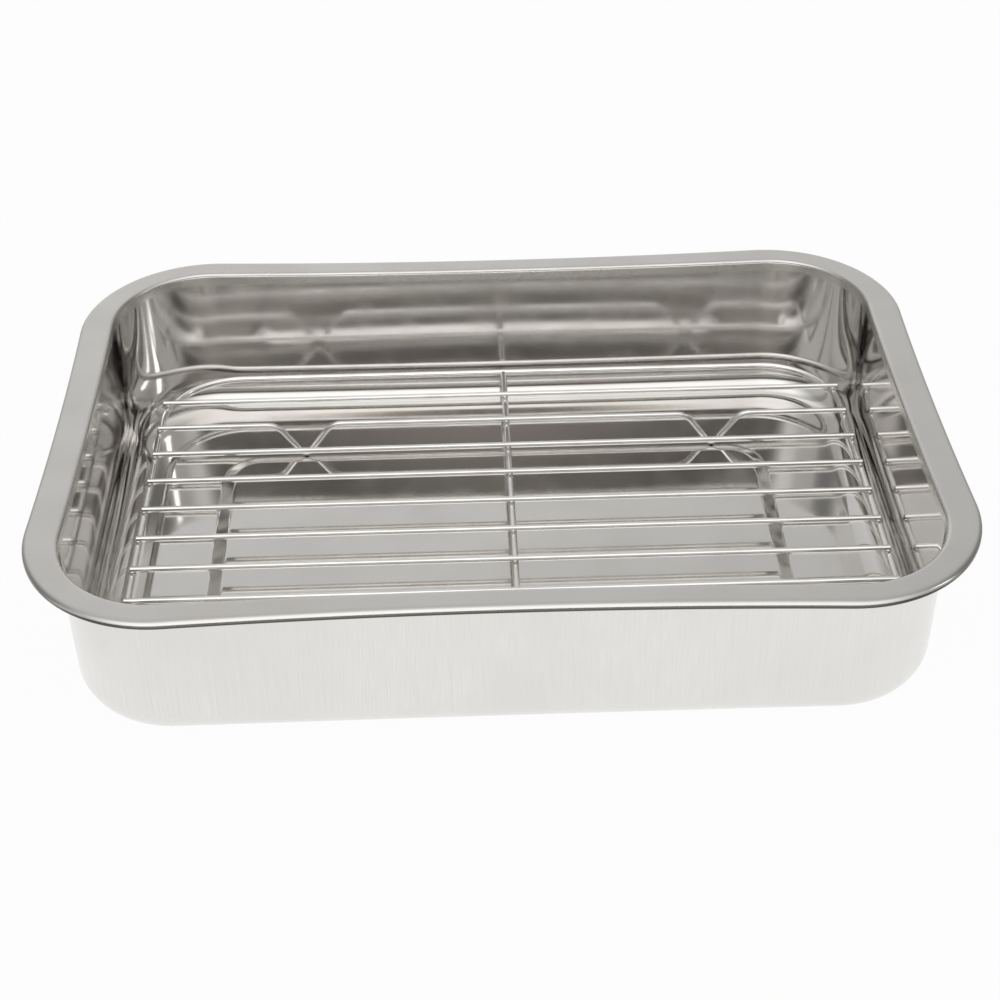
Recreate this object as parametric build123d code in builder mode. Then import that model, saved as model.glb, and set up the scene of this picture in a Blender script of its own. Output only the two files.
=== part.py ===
from build123d import *
import math
import os

# Roasting pan with a lift-out wire rack.
# Millimetres. +X runs along the pan, +Z is up, and the origin is under the middle of the base.

# Pan: overall sizes over the rolled rim
pan_length = 400.0
pan_width = 280.0
pan_height = 77.0
sheet = 0.8

# Rim: a flat shelf round the opening, rolled under along its outer edge
rim_corner_radius = 60.5
rim_side_bow = 3.7
rim_end_bow = 1.2
shelf_at_ends = 14.4
shelf_at_sides = 12.0
shelf_bend_radius = 1.2
roll_radius = 2.1
roll_turn = 285.0

# Walls: nearly upright, curving inward between the corners, and most of all at the top
wall_corner_radius = 45.0
wall_side_bow = 2.8
wall_end_bow = 1.0
base_bow_share = 0.1
wall_draft = 0.3
base_bend_radius = 16.0

# Floor: a raised middle panel with sloping edges, and a lower strip round it for the rack's feet
panel_rise = 2.4
panel_end_border = 33.0
panel_foot_gap = 0.5
panel_slope_width = 6.5
panel_corner_radius = 12.0
panel_edge_round = 6.0

# Rack: a closed frame of thick wire with a bar across its middle and rails welded on top
frame_wire = 3.6
bar_wire = 3.2
rail_wire = 3.0
rail_count = 10
edge_rail_inset = 21.5
frame_end_gap = 9.0
frame_side_gap = 1.2
frame_corner_step = 7.0
rail_overhang = 0.9
outer_rail_overhang = 3.0
rail_end_round = 0.5
weld_sink = 0.3
bar_end_sink = 0.2

# Rack: where it stands in the pan, and where its bar, rails and feet lie on its frame
rack_right = 4.8
rack_back = 0.7
bar_right = 1.6
rails_forward = 3.5
feet_right = 3.0

# Feet: a V bent down twice into the second rail from the front and from the back
foot_spacing = 206.8
foot_height = 16.8
foot_slope = 55.0
foot_tip_radius = 3.5
foot_top_radius = 10.0
foot_gap = 0.3
footed_rails = (2, rail_count - 1)

quarter_turn = 90.0

# Levels and sizes that follow from the ones above
shelf_level = pan_height - sheet
roll_level = pan_height - roll_radius
draft_slope = math.tan(math.radians(wall_draft))
base_length = pan_length - 2 * (shelf_at_ends + pan_height * draft_slope)
panel_length = base_length - 2 * (base_bend_radius + panel_end_border)
frame_end_margin = shelf_at_ends + sheet + wall_end_bow + frame_end_gap + frame_wire / 2
frame_side_margin = shelf_at_sides + sheet + wall_side_bow + frame_side_gap + frame_wire / 2
frame_length = pan_length - 2 * frame_end_margin
frame_width = pan_width - 2 * frame_side_margin
frame_corner_radius = wall_corner_radius - frame_corner_step
rail_pitch = (frame_width - 2 * edge_rail_inset) / (rail_count - 1)
back_foot_number = footed_rails[-1] - (rail_count + 1) / 2
back_foot_line = rack_back - rails_forward + back_foot_number * rail_pitch
panel_width = 2 * (back_foot_line - rail_wire / 2 - panel_foot_gap)
rail_level = sheet + foot_gap + rail_wire / 2 + foot_height
frame_level = rail_level - (rail_wire + frame_wire) / 2 + weld_sink
bar_level = rail_level - (rail_wire + bar_wire) / 2 + weld_sink


def bowed_outline(level, length, width, corner_radius, side_bow, end_bow):
    """A rounded rectangle whose four sides curve inward, drawn as eight tangent arcs."""
    corner_x = length / 2 - corner_radius
    corner_y = width / 2 - corner_radius
    side_radius = (corner_x**2 - 2 * corner_radius * side_bow + side_bow**2) / (2 * side_bow)
    end_radius = (corner_y**2 - 2 * corner_radius * end_bow + end_bow**2) / (2 * end_bow)
    side_centre = side_radius + width / 2 - side_bow
    end_centre = end_radius + length / 2 - end_bow
    side_turn = math.degrees(math.atan2(corner_x, side_centre - corner_y))
    end_turn = math.degrees(math.atan2(corner_y, end_centre - corner_x))
    corner_turn = quarter_turn + side_turn + end_turn
    with BuildLine(Plane.XY.offset(level)) as outline:
        for quarter, (along, across) in enumerate([(1, 1), (-1, 1), (-1, -1), (1, -1)]):
            lead = end_turn if quarter % 2 == 0 else side_turn
            corner = (along * corner_x, across * corner_y)
            CenterArc(corner, corner_radius, quarter * quarter_turn - lead, corner_turn)
        for sign in (1, -1):
            side_start = -sign * quarter_turn - side_turn
            end_start = (1 + sign) * quarter_turn - end_turn
            CenterArc((0, sign * side_centre), side_radius, side_start, 2 * side_turn)
            CenterArc((sign * end_centre, 0), end_radius, end_start, 2 * end_turn)
    return outline.wire()


def wall_outline(level, inset):
    """The wall's outline at a height, moved inward from its outer face."""
    taper = (pan_height - level) * draft_slope + inset
    bow_share = base_bow_share + (1 - base_bow_share) * level / pan_height
    return bowed_outline(
        level,
        pan_length - 2 * (shelf_at_ends + taper),
        pan_width - 2 * (shelf_at_sides + taper),
        wall_corner_radius - taper,
        wall_side_bow * bow_share,
        wall_end_bow * bow_share,
    )


def rim_outline(level, inset):
    """The rim's outline at a height, moved inward from its outermost edge."""
    return bowed_outline(
        level,
        pan_length - 2 * inset,
        pan_width - 2 * inset,
        rim_corner_radius - inset,
        rim_side_bow,
        rim_end_bow,
    )


def frame_reach(across):
    """How far along the rack the frame's wire lies from its middle, at a place across it."""
    into_corner = max(abs(across) - frame_width / 2 + frame_corner_radius, 0)
    corner_reach = math.sqrt(frame_corner_radius**2 - into_corner**2)
    return frame_length / 2 - frame_corner_radius + corner_reach


def straight_rail_path(half_length):
    """The middle line of a plain rail, in its own upright plane."""
    with BuildLine() as path:
        Line((-half_length, rail_level), (half_length, rail_level))
    return path.wire()


def footed_rail_path(half_length):
    """The middle line of a rail with two V feet, in its own upright plane."""
    tip_depth = foot_height + foot_tip_radius * (1 / math.cos(math.radians(foot_slope)) - 1)
    leg_run = tip_depth / math.tan(math.radians(foot_slope))
    points = [(-half_length, rail_level)]
    for side in (-1, 1):
        tip = feet_right + side * foot_spacing / 2
        points.append((tip - leg_run, rail_level))
        points.append((tip, rail_level - tip_depth))
        points.append((tip + leg_run, rail_level))
    points.append((half_length, rail_level))
    with BuildLine() as path:
        FilletPolyline(points, radius=2 * [foot_top_radius, foot_tip_radius, foot_top_radius])
    return path.wire()


os.makedirs("parts", exist_ok=True)

# Panel form: the space under the raised panel, with a thin skirt that rounds its foot
with BuildPart() as panel_form:
    with BuildSketch(Plane.XY):
        RectangleRounded(panel_length, panel_width, panel_corner_radius + panel_slope_width)
    with BuildSketch(Plane.XY.offset(panel_rise)):
        crest_length = panel_length - 2 * panel_slope_width
        crest_width = panel_width - 2 * panel_slope_width
        RectangleRounded(crest_length, crest_width, panel_corner_radius)
    loft(ruled=True)
    with BuildSketch(Plane.XY.offset(-sheet)):
        skirt_length = panel_length + 2 * panel_edge_round
        skirt_width = panel_width + 2 * panel_edge_round
        skirt_radius = panel_corner_radius + panel_slope_width + panel_edge_round
        RectangleRounded(skirt_length, skirt_width, skirt_radius)
    extrude(amount=sheet)
    levels = panel_form.faces().filter_by(Plane.XY).sort_by(Axis.Z)
    panel_edges = levels[1].inner_wires()[0].edges() + levels[2].edges()
    fillet(panel_edges, radius=panel_edge_round)

# Hollow: the space inside the pan, down to the formed floor
with BuildPart() as hollow:
    with BuildSketch(Plane.XY.offset(sheet)):
        make_face(wall_outline(sheet, sheet).edges())
    with BuildSketch(Plane.XY.offset(pan_height)):
        make_face(wall_outline(pan_height, sheet).edges())
    loft(ruled=True)
    fillet(hollow.edges().group_by(Axis.Z)[0], radius=base_bend_radius - sheet)
    with Locations((0, 0, sheet)):
        add(panel_form.part, mode=Mode.SUBTRACT)

# Pan: body, shelf and rolled edge in one sheet
with BuildPart() as pan:
    with BuildSketch(Plane.XY):
        make_face(wall_outline(0, 0).edges())
    with BuildSketch(Plane.XY.offset(shelf_level)):
        make_face(wall_outline(shelf_level, 0).edges())
    loft(ruled=True)
    fillet(pan.edges().group_by(Axis.Z)[0], radius=base_bend_radius)
    add(panel_form.part, mode=Mode.SUBTRACT)
    with BuildSketch(Plane.XY.offset(shelf_level)):
        make_face(rim_outline(shelf_level, roll_radius).edges())
    extrude(amount=sheet)
    shelf_underside = pan.faces().filter_by(Plane.XY).sort_by(Axis.Z)[-2]
    fillet(shelf_underside.inner_wires()[0].edges(), radius=shelf_bend_radius)
    add(hollow.part, mode=Mode.SUBTRACT)
    shelf_top = pan.faces().sort_by(Axis.Z)[-1]
    fillet(shelf_top.inner_wires()[0].edges(), radius=shelf_bend_radius + sheet)
    roll_path = rim_outline(roll_level, roll_radius)
    outward = (roll_path % 0).cross(Vector(0, 0, 1))
    with BuildSketch(Plane(roll_path @ 0, x_dir=outward, z_dir=roll_path % 0)) as roll_section:
        with BuildLine():
            outer_arc = CenterArc((0, 0), roll_radius, quarter_turn, -roll_turn)
            inner_arc = CenterArc((0, 0), roll_radius - sheet, quarter_turn, -roll_turn)
            Line(outer_arc @ 0, inner_arc @ 0)
            Line(outer_arc @ 1, inner_arc @ 1)
        make_face()
    sweep(path=roll_path)
pan.part.label = "pan"
export_step(pan.part, "parts/pan.step")

# Rack frame: one closed loop of wire
with BuildPart() as rack_frame:
    with BuildSketch(Plane.XY.offset(frame_level), mode=Mode.PRIVATE) as frame_shape:
        with Locations((rack_right, rack_back)):
            RectangleRounded(frame_length, frame_width, frame_corner_radius)
    frame_path = frame_shape.sketch.wire()
    with BuildSketch(Plane(frame_path @ 0, z_dir=frame_path % 0)):
        Circle(frame_wire / 2)
    sweep(path=frame_path)
rack_frame.part.label = "rack_frame"
export_step(rack_frame.part, "parts/rack_frame.step")

# Centre bar: under the rails, with its ends welded to the inside of the frame
with BuildPart() as centre_bar:
    bar_half_length = (frame_width - frame_wire) / 2 + bar_end_sink
    with BuildSketch(Plane.XZ.offset(-rack_back)):
        with Locations((rack_right + bar_right, bar_level)):
            Circle(bar_wire / 2)
    extrude(amount=bar_half_length, both=True)
centre_bar.part.label = "centre_bar"
export_step(centre_bar.part, "parts/centre_bar.step")

# Rails: evenly spaced across the frame, numbered from the front
for number in range(1, rail_count + 1):
    across = (number - (rail_count + 1) / 2) * rail_pitch - rails_forward
    overhang = outer_rail_overhang if number in (1, rail_count) else rail_overhang
    half_length = frame_reach(across) + overhang
    rail_plane = Plane((rack_right, rack_back + across, 0), x_dir=(1, 0, 0), z_dir=(0, -1, 0))
    with BuildPart() as rail:
        if number in footed_rails:
            local_path = footed_rail_path(half_length)
        else:
            local_path = straight_rail_path(half_length)
        rail_path = rail_plane.from_local_coords(local_path)
        with BuildSketch(Plane(rail_path @ 0, z_dir=rail_path % 0)):
            Circle(rail_wire / 2)
        sweep(path=rail_path)
        rail_ends = rail.faces().sort_by(Axis.X)
        fillet(rail_ends[0].edges() + rail_ends[-1].edges(), radius=rail_end_round)
    name = f"rail_{number:02d}"
    rail.part.label = name
    export_step(rail.part, f"parts/{name}.step")
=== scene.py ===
import math

import bpy
from mathutils import Matrix, Vector


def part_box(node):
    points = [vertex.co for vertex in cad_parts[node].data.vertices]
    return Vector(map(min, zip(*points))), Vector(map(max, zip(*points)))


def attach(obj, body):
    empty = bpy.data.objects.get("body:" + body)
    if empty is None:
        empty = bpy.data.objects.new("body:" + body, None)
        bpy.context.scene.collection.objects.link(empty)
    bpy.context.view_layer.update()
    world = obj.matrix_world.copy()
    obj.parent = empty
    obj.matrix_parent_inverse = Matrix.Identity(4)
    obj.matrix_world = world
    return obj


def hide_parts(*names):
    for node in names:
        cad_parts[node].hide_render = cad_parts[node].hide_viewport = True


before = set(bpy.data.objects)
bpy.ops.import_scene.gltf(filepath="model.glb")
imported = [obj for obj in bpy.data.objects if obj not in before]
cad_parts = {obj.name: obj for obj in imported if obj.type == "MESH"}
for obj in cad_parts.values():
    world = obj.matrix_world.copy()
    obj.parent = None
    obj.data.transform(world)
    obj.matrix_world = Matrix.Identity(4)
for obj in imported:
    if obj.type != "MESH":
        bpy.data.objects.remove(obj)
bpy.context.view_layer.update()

# Roasting pan with a lift-out wire rack: metres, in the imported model's frame.
# +X runs along the pan, +Z is up, and the origin is under the middle of the base.

mm = 0.001
quarter_turn = math.pi / 2
full_turn = 2 * math.pi

# Pan sizes, with the height read from the frame
pan_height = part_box("pan")[1][2]
pan_length = 400.0 * mm
pan_width = 280.0 * mm
sheet = 0.8 * mm
rim_corner_radius = 60.5 * mm
rim_side_bow = 3.7 * mm
rim_end_bow = 1.2 * mm
shelf_at_ends = 14.4 * mm
shelf_at_sides = 12.0 * mm
shelf_bend_radius = 1.2 * mm
inner_shelf_bend = shelf_bend_radius + sheet
roll_radius = 2.1 * mm
roll_turn = math.radians(285)
wall_corner_radius = 45.0 * mm
wall_side_bow = 2.8 * mm
wall_end_bow = 1.0 * mm
base_bow_share = 0.1
wall_draft = math.radians(0.3)
base_bend_radius = 16.0 * mm
inner_base_bend = base_bend_radius - sheet
panel_length = 272.4 * mm
panel_width = 145.8 * mm
panel_rise = 2.4 * mm
panel_slope_width = 6.5 * mm
panel_corner_radius = 12.0 * mm
panel_edge_round = 6.0 * mm

# The panel's sides are as good as straight, and its mesh ends in a small cap in the middle
panel_bow = 0.01 * mm
panel_cap_share = 0.02

# Rack sizes, beside the ones that come from the frame
rail_width = 3.0 * mm
rail_overhang = 0.9 * mm
weld_reach = 1.5 * mm
weld_height = 0.9 * mm

# How uneven a weld is, round it and from top to bottom, and how far each is turned from the last
weld_lumps_round = 3
weld_lumps_down = 2
weld_unevenness_round = 0.10
weld_unevenness_down = 0.07
weld_turn = 1.7

# Colours, as red, green, blue and alpha
clean_steel = (0.80, 0.788, 0.768, 1)
warm_steel = (0.76, 0.742, 0.718, 1)
lined_steel = (0.74, 0.74, 0.72, 1)
# The near-black colour that is painted under the rolled edge as its shade
painted_shade_colour = (0.07, 0.065, 0.06, 1)
bright_plating = (0.95, 0.945, 0.93, 1)
dull_plating = (0.86, 0.845, 0.82, 1)
weld_metal = (0.72, 0.70, 0.67, 1)
weld_oxide = (0.46, 0.43, 0.40, 1)
white = (1, 1, 1, 1)
tabletop_white = (0.9, 0.9, 0.9, 1)
tent_light = (1.0, 0.99, 0.975, 1)
dark_band_light = (1.0, 0.945, 0.86, 1)

# Roughness of each finish, at the least and at the most that its pattern gives
polished_roughness = (0.05, 0.09)
satin_roughness = (0.22, 0.29)
brushed_roughness = (0.12, 0.24)
plating_roughness = (0.08, 0.14)
weld_roughness = (0.24, 0.42)
rolled_edge_roughness = 0.18
long_wall_dulling = 0.045
smudge_dulling = 0.03
skin_dulling = 0.04

# Patterns: how many features they have in a metre, and how many finer layers
steel_patches = (26, 2)
steel_brushing = (2600, 3)
steel_smudges = (70, 2)
steel_waves = (9, 1)
wire_patches = (60, 4)
wire_skin = (2400, 2)
weld_film = (400, 3)
weld_pits = (1500, 2)
upright_stretch = (1, 1, 0.008)

# Between which noise values each pattern grows from none to full
patches_grow = (0.35, 0.7)
satin_grows = (0.3, 0.75)
warmth_grows = (0.4, 0.75)
brushing_grows = (0.3, 0.7)
smudges_grow = (0.5, 0.72)
skin_grows = (0.4, 0.8)
dull_plating_grows = (0.45, 0.75)
line_strength = 0.8

# Depth of the fine relief
wave_depth = 0.1 * mm
brushing_depth = 0.001 * mm
skin_depth = 0.002 * mm
pit_depth = 0.06 * mm

# Where the pan's finishes change, and where shade is painted under the rolled edge: how far from the middle a
# surface faces outward, how high it
# # lies, how far up it faces, and how far toward the front or the back
outside_from, outside_full = 30 * mm, 80 * mm
rim_from, rim_full = pan_height - 3 * roll_radius, pan_height - 2.2 * roll_radius
# Painted shade under the rolled edge: it grows from where the surface faces 0.3 up to where it faces level or
# down, and is stronger on the long sides than at the ends
painted_shade_from, painted_shade_full = 0.3, 0.0
end_facing, long_side_facing = 0.3, 0.9
painted_shade_at_ends, painted_shade_at_long_sides = 0.4, 0.95
rolled_edge_lean = 0.5

# The studio tent: how bright it is at each angle from overhead, toward the front where positive,
# and between which angles it is dark and brown
tent = [(-90, 0.75), (-55, 0.66), (-42, 0.55), (-20, 0.54), (-6, 0.74), (4, 1.2), (40, 1.35), (47, 1.1),
        (51, 0.16), (54, 0.07), (57, 0.2), (60, 0.42), (65, 0.1), (68, 0.14), (72, 1.35), (90, 1.5)]
dark_band = (50, 70)
dark_band_edge = 0.01

# The tent's dimming, from the first distance out to the second, and what is left of it there
side_dimming = (0.35, 0.7, 1.0, 0.42)
right_dimming = (0.0, 0.3, 1.0, 0.86)

# The narrow lamp at the right
strip_place = (1.25, -0.1, 1.0)
strip_size = (0.16, 0.4)
strip_brightness = 1.8

# The tabletop's reach from the middle, and the share of plain white in how it looks
tabletop_reach = 3.0
tabletop_shine = 0.96

# The photograph's camera, as it was fitted to the pan
camera_elevation = math.radians(37.5)
camera_heading = math.radians(1.5)
camera_roll = math.radians(-0.71)
camera_distance = 0.8521
camera_target = Vector((0.0007, 0, 0.0256))
camera_reach = 20
focal_pixels = 1812.4
picture_pixels = 1000

# How finely the shapes are divided
corner_steps = 32
side_steps = 40
end_steps = 28
wall_steps = 18
bend_steps = 14
roll_steps = 24
shelf_steps = 6
floor_steps = 10
weld_rings = 7
weld_steps = 12


def bowed_outline(length, width, radius, side_bow, end_bow):
    """Points round a rounded rectangle whose sides curve inward, always in the same order."""
    corner_x = length / 2 - radius
    corner_y = width / 2 - radius
    side_radius = (corner_x**2 - 2 * radius * side_bow + side_bow**2) / (2 * side_bow)
    end_radius = (corner_y**2 - 2 * radius * end_bow + end_bow**2) / (2 * end_bow)
    side_centre = side_radius + width / 2 - side_bow
    end_centre = end_radius + length / 2 - end_bow
    side_turn = math.atan2(corner_x, side_centre - corner_y)
    end_turn = math.atan2(corner_y, end_centre - corner_x)
    sweep = quarter_turn + side_turn + end_turn
    points = []
    for quarter, (along, across) in enumerate([(1, 1), (-1, 1), (-1, -1), (1, -1)]):
        long_side_next = quarter % 2 == 0
        start = quarter * quarter_turn - (end_turn if long_side_next else side_turn)
        for step in range(corner_steps):
            angle = start + sweep * step / corner_steps
            points.append((along * corner_x + radius * math.cos(angle),
                           across * corner_y + radius * math.sin(angle)))
        if long_side_next:
            for step in range(side_steps):
                angle = side_turn * (1 - 2 * step / side_steps)
                points.append((along * side_radius * math.sin(angle),
                               across * (side_centre - side_radius * math.cos(angle))))
        else:
            for step in range(end_steps):
                angle = end_turn * (1 - 2 * step / end_steps)
                points.append((along * (end_centre - end_radius * math.cos(angle)),
                               across * end_radius * math.sin(angle)))
    return points


def wall_ring(level, inset):
    """The wall's outline at a height, moved inward from its outer face."""
    taper = (pan_height - level) * math.tan(wall_draft) + inset
    bow_share = base_bow_share + (1 - base_bow_share) * level / pan_height
    outline = bowed_outline(pan_length - 2 * (shelf_at_ends + taper),
                            pan_width - 2 * (shelf_at_sides + taper),
                            wall_corner_radius - taper,
                            wall_side_bow * bow_share,
                            wall_end_bow * bow_share)
    return [(x, y, level) for x, y in outline]


def rim_ring(level, inset):
    """The rim's outline at a height, moved inward from its outermost edge."""
    outline = bowed_outline(pan_length - 2 * inset, pan_width - 2 * inset,
                            rim_corner_radius - inset, rim_side_bow, rim_end_bow)
    return [(x, y, level) for x, y in outline]


def panel_ring(level, inset):
    """The raised panel's outline at a height, moved inward from its foot."""
    outline = bowed_outline(panel_length - 2 * inset, panel_width - 2 * inset,
                            panel_corner_radius + panel_slope_width - inset, panel_bow, panel_bow)
    return [(x, y, level) for x, y in outline]


def between(ring_a, ring_b, steps):
    """Rings that lead evenly from one ring to another, both left out."""
    rings = []
    for step in range(1, steps):
        share = step / steps
        rings.append([tuple(a + (b - a) * share for a, b in zip(point_a, point_b))
                      for point_a, point_b in zip(ring_a, ring_b)])
    return rings


def bend_angles(turn):
    """Angles from nothing to a whole bend."""
    return [turn * step / bend_steps for step in range(bend_steps + 1)]


def wall_levels():
    """Heights that divide the straight wall between the base bend and the shelf's bend, upward."""
    straight = pan_height - inner_shelf_bend - base_bend_radius
    return [base_bend_radius + straight * step / wall_steps for step in range(1, wall_steps)]


def floor_rings(face_level):
    """Rings over a face of the floor whose flat part lies at a height, inward from the base bend."""
    slope = math.atan2(panel_rise, panel_slope_width)
    tangent = panel_edge_round * math.tan(slope / 2)
    foot_bend = []
    for angle in bend_angles(slope)[:-1]:
        foot_bend.append(panel_ring(face_level + panel_edge_round * (1 - math.cos(angle)),
                                    panel_edge_round * math.sin(angle) - tangent))
    crest_bend = []
    for angle in reversed(bend_angles(slope)):
        crest_bend.append(panel_ring(face_level + panel_rise - panel_edge_round * (1 - math.cos(angle)),
                                     panel_slope_width + tangent - panel_edge_round * math.sin(angle)))
    crest = crest_bend[-1]
    middle = [(x * panel_cap_share, y * panel_cap_share, z) for x, y, z in crest]
    start = wall_ring(face_level, base_bend_radius)
    return (between(start, foot_bend[0], floor_steps) + foot_bend + crest_bend
            + between(crest, middle, 2 * floor_steps) + [middle])


def inside_rings():
    """Rings of the sheet's inner face, from the middle of the floor up to the start of the shelf."""
    rings = floor_rings(sheet)[::-1]
    for angle in reversed(bend_angles(quarter_turn)):
        rings.append(wall_ring(base_bend_radius - inner_base_bend * math.sin(angle),
                               base_bend_radius - inner_base_bend * math.cos(angle)))
    for level in wall_levels():
        rings.append(wall_ring(level, sheet))
    for angle in bend_angles(quarter_turn):
        rings.append(wall_ring(pan_height - inner_shelf_bend * (1 - math.sin(angle)),
                               sheet - inner_shelf_bend * (1 - math.cos(angle))))
    return rings


def roll_rings():
    """Rings round the rolled edge: along its outer face to its tip, and back along its inner face."""
    axis_level = pan_height - roll_radius
    turns = [roll_turn * step / roll_steps for step in range(roll_steps + 1)]
    rings = []
    for radius, angles in ((roll_radius, turns), (roll_radius - sheet, turns[::-1])):
        for angle in angles:
            rings.append(rim_ring(axis_level + radius * math.cos(angle),
                                  roll_radius - radius * math.sin(angle)))
    return rings


def outside_rings():
    """Rings of the sheet's outer face, from under the shelf down to the floor."""
    rings = []
    for angle in reversed(bend_angles(quarter_turn)):
        rings.append(wall_ring(pan_height - inner_shelf_bend + shelf_bend_radius * math.sin(angle),
                               -shelf_bend_radius * (1 - math.cos(angle))))
    for level in reversed(wall_levels()):
        rings.append(wall_ring(level, 0))
    for angle in bend_angles(quarter_turn):
        rings.append(wall_ring(base_bend_radius * (1 - math.sin(angle)),
                               base_bend_radius * (1 - math.cos(angle))))
    return rings + floor_rings(0)


def pan_rings():
    """All rings of the pan, from the middle of the floor inside, over the rim, to the middle outside."""
    inside = inside_rings()
    roll = roll_rings()
    outside = outside_rings()
    return (inside + between(inside[-1], roll[0], shelf_steps) + roll
            + between(roll[-1], outside[0], shelf_steps) + outside)


def faces_between(rings, steps, first=0):
    """Faces that join each ring to the next, where the first ring starts at a numbered point."""
    faces = []
    for ring in range(rings - 1):
        base = first + ring * steps
        for step in range(steps):
            following = (step + 1) % steps
            faces.append([base + step, base + steps + step, base + steps + following, base + following])
    return faces


def mesh_piece(name, vertices, faces):
    """A smoothly shaded object from points and faces."""
    mesh = bpy.data.meshes.new(name)
    mesh.from_pydata(vertices, [], faces)
    mesh.shade_smooth()
    piece = bpy.data.objects.new(name, mesh)
    bpy.context.scene.collection.objects.link(piece)
    return piece


def pan_sheet():
    """The whole pan as one closed skin through its rings, capped in the middle of the floor."""
    rings = pan_rings()
    steps = len(rings[0])
    vertices = [point for ring in rings for point in ring]
    first_cap = list(range(steps))
    last_cap = list(reversed(range(len(vertices) - steps, len(vertices))))
    return mesh_piece("pan_sheet", vertices, [first_cap] + faces_between(len(rings), steps) + [last_cap])


def weld_places():
    """The middle of every weld: each rail on the frame's two ends and on the bar."""
    bar_low, bar_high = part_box("centre_bar")
    bar_x = (bar_low[0] + bar_high[0]) / 2
    places = []
    for name in sorted(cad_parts):
        if name.startswith("rail_"):
            rail_low, rail_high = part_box(name)
            rail_y = (rail_low[1] + rail_high[1]) / 2
            under_rail = rail_high[2] - rail_width
            for x in (rail_low[0] + rail_overhang, bar_x, rail_high[0] - rail_overhang):
                places.append((x, rail_y, under_rail))
    return places


def weld_beads():
    """Small uneven lumps of fused metal between the wires, one at every weld."""
    vertices, faces = [], []
    for number, (x, y, z) in enumerate(weld_places()):
        faces += faces_between(weld_rings + 1, weld_steps, len(vertices))
        for ring in range(weld_rings + 1):
            polar = math.pi * ring / weld_rings
            for step in range(weld_steps):
                around = full_turn * step / weld_steps
                lump = (1 + weld_unevenness_round * math.sin(weld_lumps_round * around + weld_turn * number)
                        + weld_unevenness_down * math.cos(weld_lumps_down * polar + number))
                reach = weld_reach * lump * math.sin(polar)
                vertices.append((x + reach * math.cos(around), y + reach * math.sin(around),
                                 z + weld_height * math.cos(polar)))
    return mesh_piece("weld_beads", vertices, faces)


class Nodes:
    """A short way to build the node tree of a material or of the world."""

    def __init__(self, owner):
        owner.use_nodes = True
        self.tree = owner.node_tree
        self.tree.nodes.clear()

    def add(self, kind, values=(), **settings):
        node = self.tree.nodes.new(kind)
        for key, value in settings.items():
            setattr(node, key, value)
        for key, value in dict(values).items():
            if isinstance(value, bpy.types.NodeSocket):
                self.tree.links.new(value, node.inputs[key])
            else:
                node.inputs[key].default_value = value
        return node

    def math(self, operation, first, second=0.0):
        return self.add("ShaderNodeMath", {0: first, 1: second}, operation=operation).outputs[0]

    def product(self, first, second):
        return self.math("MULTIPLY", first, second)

    def vector(self, operation, first, second=(0, 0, 0)):
        return self.add("ShaderNodeVectorMath", {0: first, 1: second}, operation=operation).outputs

    def span(self, value, low, high, low_result=0.0, high_result=1.0):
        """The value carried from one range to another, and held inside it."""
        node = self.add("ShaderNodeMapRange", {"Value": value, "From Min": low, "From Max": high,
                                               "To Min": low_result, "To Max": high_result})
        return node.outputs[0]

    def blend(self, share, value, other):
        """A value that turns into another by a share."""
        return self.span(share, 0, 1, value, other)

    def noise(self, point, scale, detail, stretch=(1, 1, 1)):
        """Even noise, or long streaks along the direction whose stretch is small."""
        placed = self.add("ShaderNodeMapping", {"Vector": point, "Scale": stretch})
        node = self.add("ShaderNodeTexNoise", {"Vector": placed.outputs[0], "Scale": scale, "Detail": detail})
        return node.outputs["Fac"]

    def ramp(self, value, stops):
        """Grey levels at the given places between 0 and 1."""
        node = self.add("ShaderNodeValToRGB", {"Fac": value})
        elements = node.color_ramp.elements
        while len(elements) < len(stops):
            elements.new(0.5)
        for element, (place, level) in zip(elements, stops):
            element.position = place
            element.color = (level, level, level, 1)
        return node.outputs["Color"]

    def tint(self, share, colour, other):
        """A colour that turns into another by a share."""
        node = self.add("ShaderNodeMixRGB", {"Fac": share, "Color1": colour, "Color2": other})
        return node.outputs[0]

    def bump(self, height, distance, strength=1.0, normal=None):
        values = {"Height": height, "Distance": distance, "Strength": strength}
        if normal is not None:
            values["Normal"] = normal
        return self.add("ShaderNodeBump", values).outputs[0]

    def metal(self, colour, roughness, normal):
        """Ends a material's tree as bare metal."""
        shader = self.add("ShaderNodeBsdfPrincipled", {"Base Color": colour, "Metallic": 1.0,
                                                       "Roughness": roughness, "Normal": normal})
        self.add("ShaderNodeOutputMaterial", {"Surface": shader.outputs[0]})


def start_material(name):
    """A new material, its nodes, and the place on the surface that its patterns follow."""
    material = bpy.data.materials.new(name)
    nodes = Nodes(material)
    point = nodes.add("ShaderNodeTexCoord").outputs["Object"]
    return material, nodes, point


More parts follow.
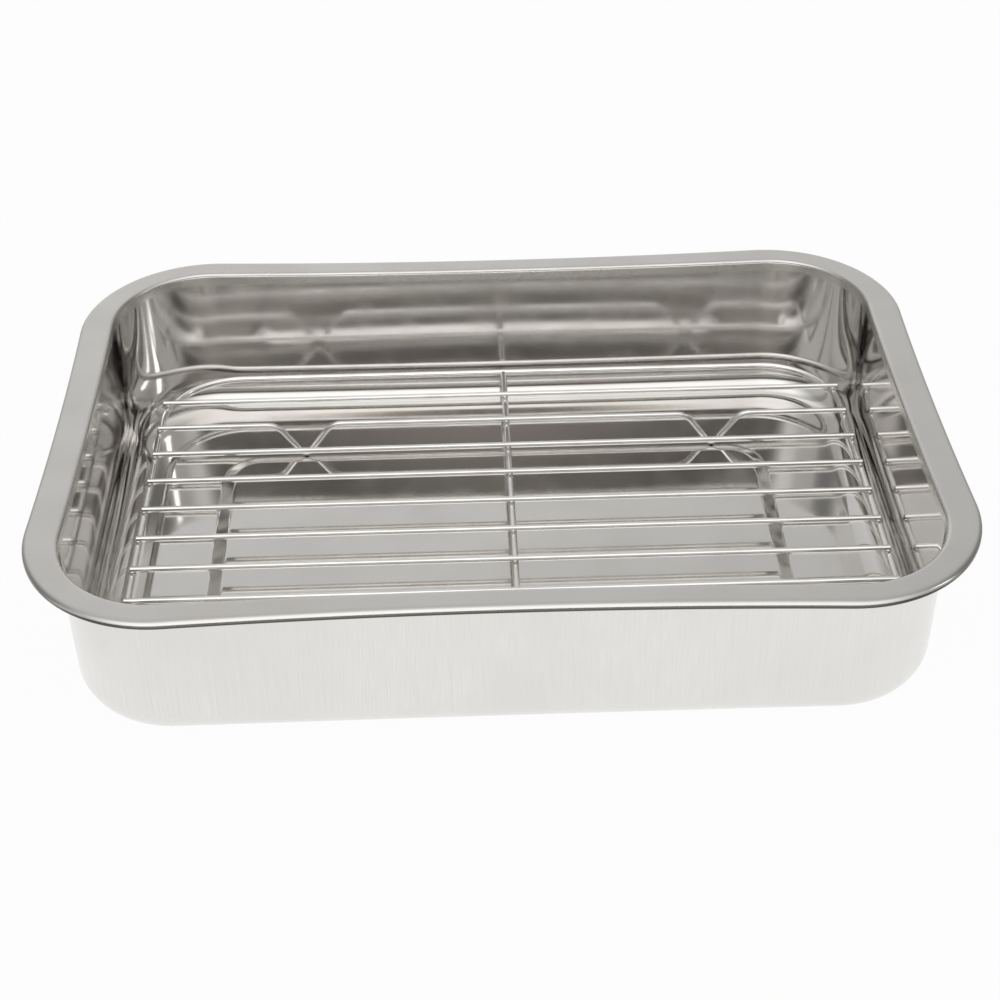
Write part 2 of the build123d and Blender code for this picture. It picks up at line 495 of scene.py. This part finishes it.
def pan_material():
    """Polished sheet steel: a satin rim, a brushed outside, and painted shade under the rolled edge."""
    material, nodes, point = start_material("pan_steel")
    normal = nodes.add("ShaderNodeNewGeometry").outputs["Normal"]
    facing = nodes.add("ShaderNodeSeparateXYZ", {0: normal}).outputs
    faces_long_side = nodes.math("ABSOLUTE", facing["Y"])
    level = nodes.add("ShaderNodeSeparateXYZ", {0: point}).outputs["Z"]
    from_middle = nodes.vector("MULTIPLY", point, (1, 1, 0))["Vector"]
    outward = nodes.vector("DOT_PRODUCT", normal, from_middle)["Value"]

    outside = nodes.span(outward, outside_from, outside_full)
    near_rim = nodes.span(level, rim_from, rim_full)
    rolled_edge = nodes.product(near_rim, outside)
    # Painted shade: the rolled edge's underside, where it faces level or down, is darkened toward a
    # near-black colour, more along the long sides than at the ends
    under_edge_shade_mask = nodes.product(rolled_edge, nodes.span(facing["Z"], painted_shade_from, painted_shade_full))
    painted_shade = nodes.product(under_edge_shade_mask, nodes.span(faces_long_side, end_facing, long_side_facing,
                                                 painted_shade_at_ends, painted_shade_at_long_sides))

    patches = nodes.noise(point, *steel_patches)
    brushing = nodes.noise(point, *steel_brushing, upright_stretch)
    smudges = nodes.span(nodes.noise(point, *steel_smudges), *smudges_grow)

    polished = nodes.math("ADD", nodes.span(patches, *patches_grow, *polished_roughness),
                          nodes.product(faces_long_side, long_wall_dulling))
    satin = nodes.span(patches, *satin_grows, *satin_roughness)
    brushed = nodes.span(brushing, *brushing_grows, *brushed_roughness)
    roughness = nodes.blend(outside, polished, brushed)
    roughness = nodes.blend(near_rim, roughness, satin)
    roughness = nodes.blend(rolled_edge, roughness, rolled_edge_roughness)
    roughness = nodes.math("ADD", roughness, nodes.product(smudges, smudge_dulling))

    clean = nodes.tint(nodes.span(patches, *warmth_grows), clean_steel, warm_steel)
    lines = nodes.product(outside, nodes.span(brushing, *brushing_grows, 0.0, line_strength))
    # The painted shade under the rolled edge is mixed into the steel's colour here
    colour = nodes.tint(painted_shade, nodes.tint(lines, clean, lined_steel), painted_shade_colour)

    # The real edge is rolled flatter on top than the round solid, so its shading leans upward.
    lean = nodes.add("ShaderNodeCombineXYZ", {"Z": nodes.product(rolled_edge, rolled_edge_lean)}).outputs[0]
    leaned = nodes.vector("NORMALIZE", nodes.vector("ADD", normal, lean)["Vector"])["Vector"]
    waves = nodes.bump(nodes.noise(point, *steel_waves), wave_depth, 1.0, leaned)
    nodes.metal(colour, roughness, nodes.bump(brushing, brushing_depth, outside, waves))
    return material


def wire_material():
    """Bright plated wire with faint dull patches and a fine skin."""
    material, nodes, point = start_material("rack_wire")
    patches = nodes.noise(point, *wire_patches)
    skin = nodes.noise(point, *wire_skin)
    roughness = nodes.math("ADD", nodes.span(patches, *patches_grow, *plating_roughness),
                           nodes.span(skin, *skin_grows, 0, skin_dulling))
    colour = nodes.tint(nodes.span(patches, *dull_plating_grows), bright_plating, dull_plating)
    nodes.metal(colour, roughness, nodes.bump(skin, skin_depth))
    return material


def weld_material():
    """Fused steel at a crossing: duller and greyer than the wire, with a pitted skin."""
    material, nodes, point = start_material("weld_steel")
    film = nodes.noise(point, *weld_film)
    roughness = nodes.span(film, *patches_grow, *weld_roughness)
    colour = nodes.tint(nodes.span(film, *patches_grow), weld_metal, weld_oxide)
    nodes.metal(colour, roughness, nodes.bump(nodes.noise(point, *weld_pits), pit_depth))
    return material


def tabletop_material():
    """A white tabletop that still takes a faint shadow, and that metal sees as white."""
    material = bpy.data.materials.new("tabletop")
    nodes = Nodes(material)
    path = nodes.add("ShaderNodeLightPath").outputs
    matte = nodes.add("ShaderNodeBsdfDiffuse", {"Color": tabletop_white}).outputs[0]
    shine = nodes.add("ShaderNodeEmission", {"Color": white, "Strength": 1.0}).outputs[0]
    seen = nodes.math("MAXIMUM", path["Is Camera Ray"], path["Is Glossy Ray"])
    share = nodes.product(seen, tabletop_shine)
    mix = nodes.add("ShaderNodeMixShader", {0: share, 1: matte, 2: shine})
    nodes.add("ShaderNodeOutputMaterial", {"Surface": mix.outputs[0]})
    return material


def tabletop():
    """A wide plain tabletop under the base."""
    corners = [(x * tabletop_reach, y * tabletop_reach, 0) for x, y in [(-1, -1), (1, -1), (1, 1), (-1, 1)]]
    table = mesh_piece("tabletop", corners, [[0, 1, 2, 3]])
    table.data.materials.append(tabletop_material())


def tent_place(degrees):
    """An angle from overhead, as its place from 0 to 1 along the tent's bands."""
    return (degrees + 90) / 180


def studio_world():
    """White to the camera; for light and reflections a soft studio tent, told by the angle from overhead."""
    world = bpy.data.worlds.new("studio")
    bpy.context.scene.world = world
    nodes = Nodes(world)
    direction = nodes.add("ShaderNodeTexCoord").outputs["Generated"]
    parts = nodes.add("ShaderNodeSeparateXYZ", {0: direction}).outputs
    angle = nodes.math("ARCTAN2", nodes.product(parts["Y"], -1.0), parts["Z"])
    place = nodes.span(angle, -quarter_turn, quarter_turn)
    bands = nodes.ramp(place, [(tent_place(degrees), level) for degrees, level in tent])
    low_end, high_end = [tent_place(degrees) for degrees in dark_band]
    in_band = nodes.product(nodes.span(place, low_end - dark_band_edge, low_end + dark_band_edge),
                            nodes.span(place, high_end + dark_band_edge, high_end - dark_band_edge))
    both_sides = nodes.span(nodes.math("ABSOLUTE", parts["X"]), *side_dimming)
    right_side = nodes.span(parts["X"], *right_dimming)
    level = nodes.product(bands, nodes.product(both_sides, right_side))
    soft = nodes.add("ShaderNodeBackground", {"Strength": level,
                                              "Color": nodes.tint(in_band, tent_light, dark_band_light)})
    plain = nodes.add("ShaderNodeBackground", {"Color": white})
    path = nodes.add("ShaderNodeLightPath").outputs
    mix = nodes.add("ShaderNodeMixShader", {0: path["Is Camera Ray"], 1: soft.outputs[0],
                                            2: plain.outputs[0]})
    nodes.add("ShaderNodeOutputWorld", {"Surface": mix.outputs[0]})


def strip_lamp():
    """A narrow studio lamp at the right that faces the pan, as bright as said wherever metal sees it."""
    light = bpy.data.lights.new("right_strip", "AREA")
    light.shape = "RECTANGLE"
    light.size, light.size_y = strip_size
    light.energy = math.pi * strip_brightness * strip_size[0] * strip_size[1]
    lamp = bpy.data.objects.new("right_strip", light)
    lamp.location = strip_place
    lamp.rotation_euler = (-Vector(strip_place)).to_track_quat("-Z", "Y").to_euler()
    bpy.context.scene.collection.objects.link(lamp)


def photo_camera():
    """The photograph's view, from its fitted elevation, heading, roll, distance and focal length."""
    forward = Vector((math.sin(camera_heading) * math.cos(camera_elevation),
                      math.cos(camera_heading) * math.cos(camera_elevation),
                      -math.sin(camera_elevation)))
    level_right = Vector((math.cos(camera_heading), -math.sin(camera_heading), 0))
    level_up = level_right.cross(forward)
    right = math.cos(camera_roll) * level_right + math.sin(camera_roll) * level_up
    up = math.cos(camera_roll) * level_up - math.sin(camera_roll) * level_right
    lens = bpy.data.cameras.new("photo_camera")
    lens.sensor_fit = "HORIZONTAL"
    lens.lens = lens.sensor_width * focal_pixels / picture_pixels
    lens.clip_end = camera_reach
    eye = bpy.data.objects.new("photo_camera", lens)
    turn = Matrix((right, up, -forward)).transposed()
    eye.matrix_world = Matrix.Translation(camera_target - forward * camera_distance) @ turn.to_4x4()
    bpy.context.scene.collection.objects.link(eye)
    bpy.context.scene.camera = eye


pan = pan_sheet()
pan.data.materials.append(pan_material())
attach(pan, "pan")
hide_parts("pan")

wire = wire_material()
for name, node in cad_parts.items():
    if name != "pan":
        node.data.materials.clear()
        node.data.materials.append(wire)

beads = weld_beads()
beads.data.materials.append(weld_material())
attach(beads, "rack")

tabletop()
studio_world()
strip_lamp()
photo_camera()

bpy.context.scene.view_settings.view_transform = "Standard"
